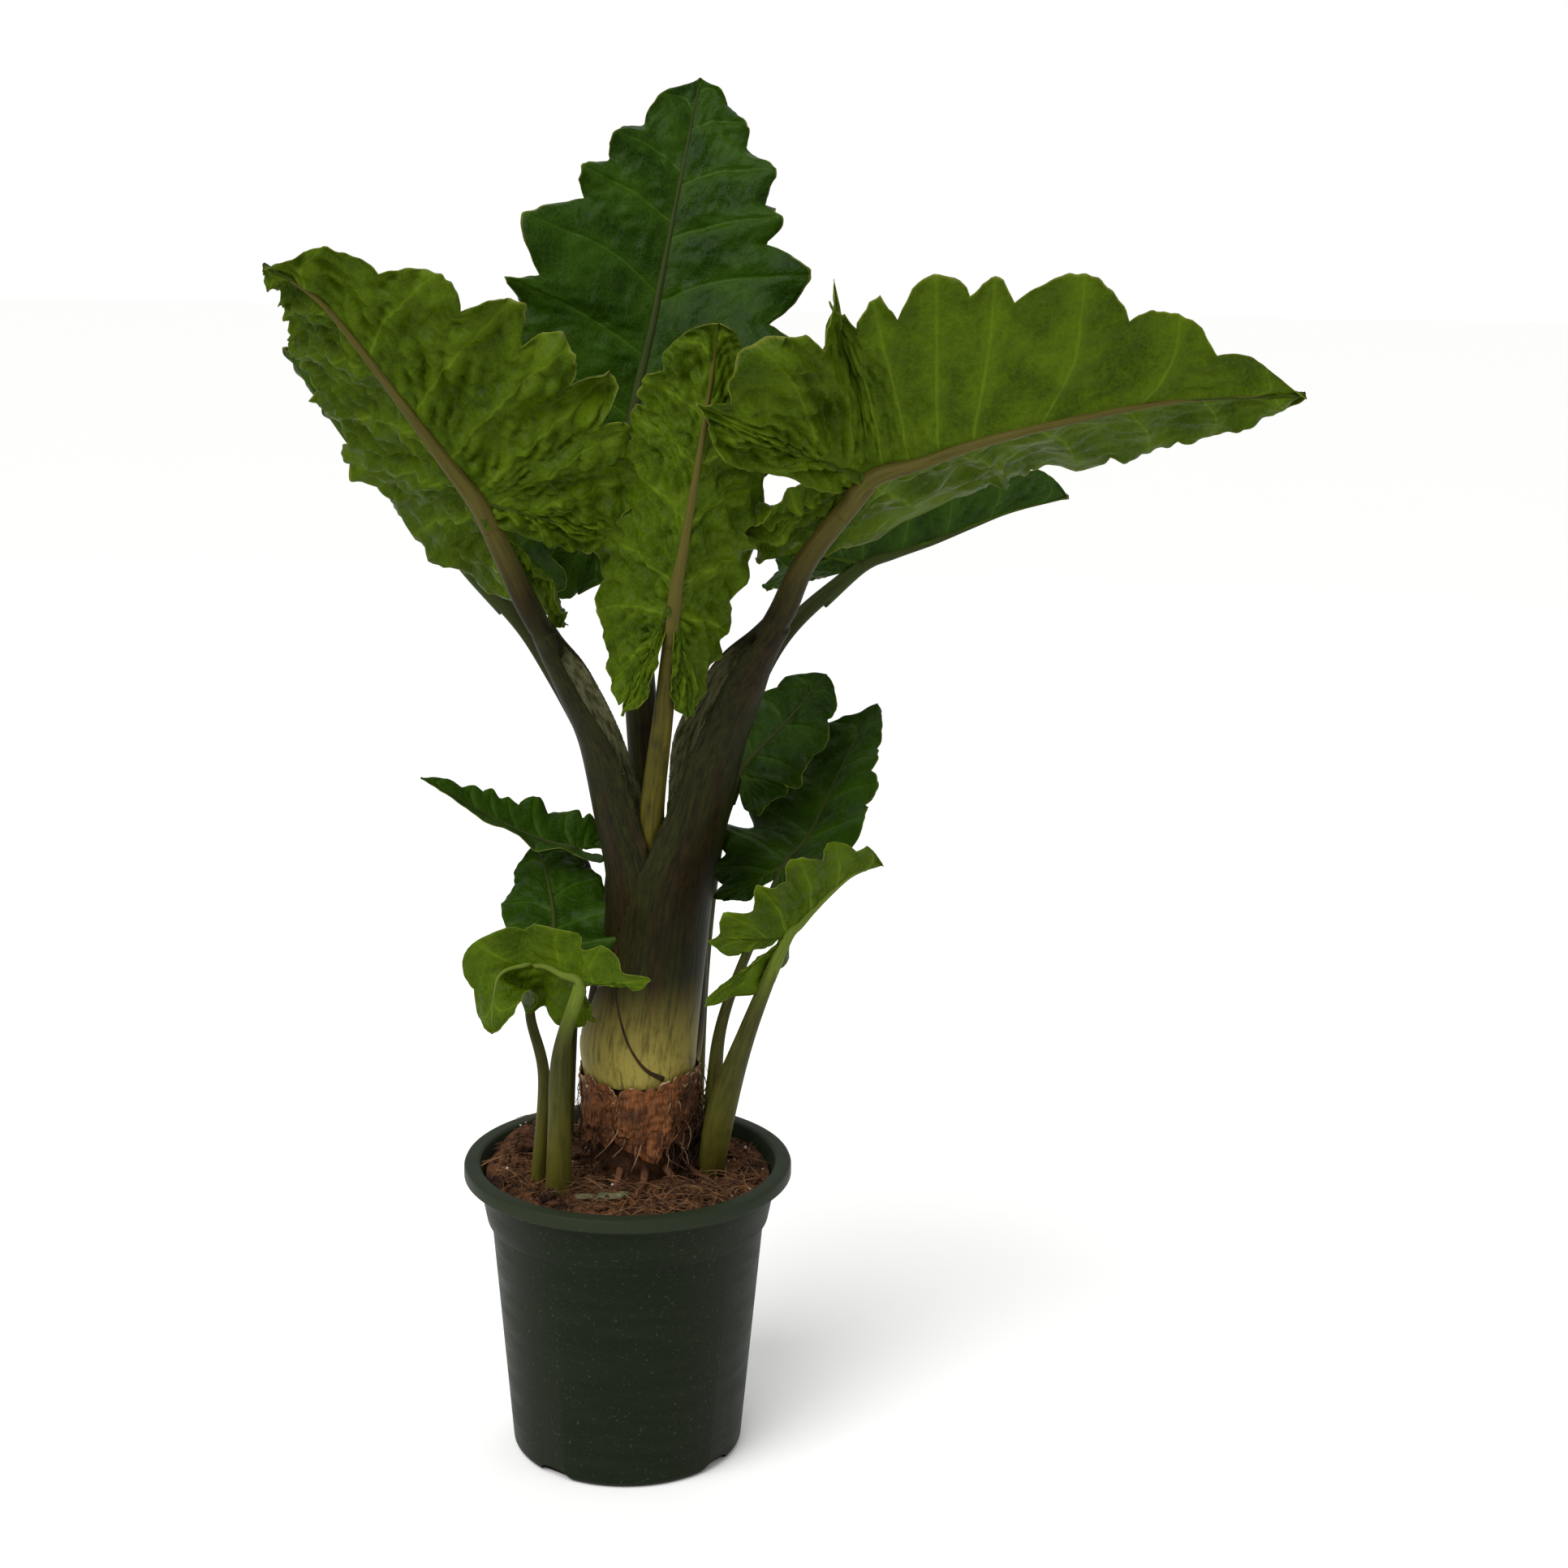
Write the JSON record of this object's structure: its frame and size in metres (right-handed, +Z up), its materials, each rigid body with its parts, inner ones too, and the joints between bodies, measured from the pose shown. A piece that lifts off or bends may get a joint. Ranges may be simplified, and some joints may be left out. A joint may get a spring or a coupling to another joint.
{
  "type": "potted alocasia",
  "caption": "Broad-leaved alocasia with wavy leaves on clasping stalks, two side shoots and a round green grower's pot of coir mix.",
  "frame": {"origin": "centre of the pot's flat foot, where it rests on the floor", "axes": "+Z up the plant; -Y is the front, the side the big young leaf stands on; +X is to the right seen from the front"},
  "size_m": [0.795, 0.373, 1.12],
  "materials": {
    "pot": "satin moulded polypropylene",
    "mix": "loose fibrous coir",
    "corm": "rough and fibrous",
    "dry_scale": "dry and papery",
    "litter": "matt bark and dry leaf",
    "stalk": "satin, fleshy",
    "young_leaf": "waxy, half translucent",
    "old_leaf": "waxy"
  },
  "bodies": {
    "root": {"petiole_centre": "stalk", "petiole_back": "stalk", "petiole_left": "stalk", "petiole_right": "stalk", "petiole_front_left": "stalk", "petiole_front_right": "stalk", "petiole_left_shoot_front": "stalk", "petiole_left_shoot_rear": "stalk", "petiole_left_shoot_long": "stalk", "petiole_right_shoot_front": "stalk", "petiole_right_shoot_tall": "stalk", "petiole_right_shoot_rear": "stalk", "corm": "corm", "dry_scale_1": "dry_scale", "dry_scale_2": "dry_scale", "dry_scale_3": "dry_scale", "dry_scale_4": "dry_scale", "dry_scale_5": "dry_scale", "root_1": "corm", "root_2": "corm", "root_3": "corm", "root_4": "corm", "root_5": "corm", "blade_front_left": "young_leaf", "blade_front_right": "young_leaf", "blade_centre": "young_leaf", "blade_back": "old_leaf", "blade_left": "old_leaf", "blade_right": "old_leaf", "blade_left_shoot_front": "young_leaf", "blade_left_shoot_rear": "old_leaf", "blade_left_shoot_long": "old_leaf", "blade_right_shoot_front": "young_leaf", "blade_right_shoot_tall": "old_leaf", "blade_right_shoot_rear": "old_leaf", "grower_pot": "pot", "potting_mix": "mix", "litter_1": "litter", "litter_2": "litter", "litter_3": "litter", "litter_4": "litter", "litter_5": "litter", "litter_6": "litter"}
  },
  "joints": []
}
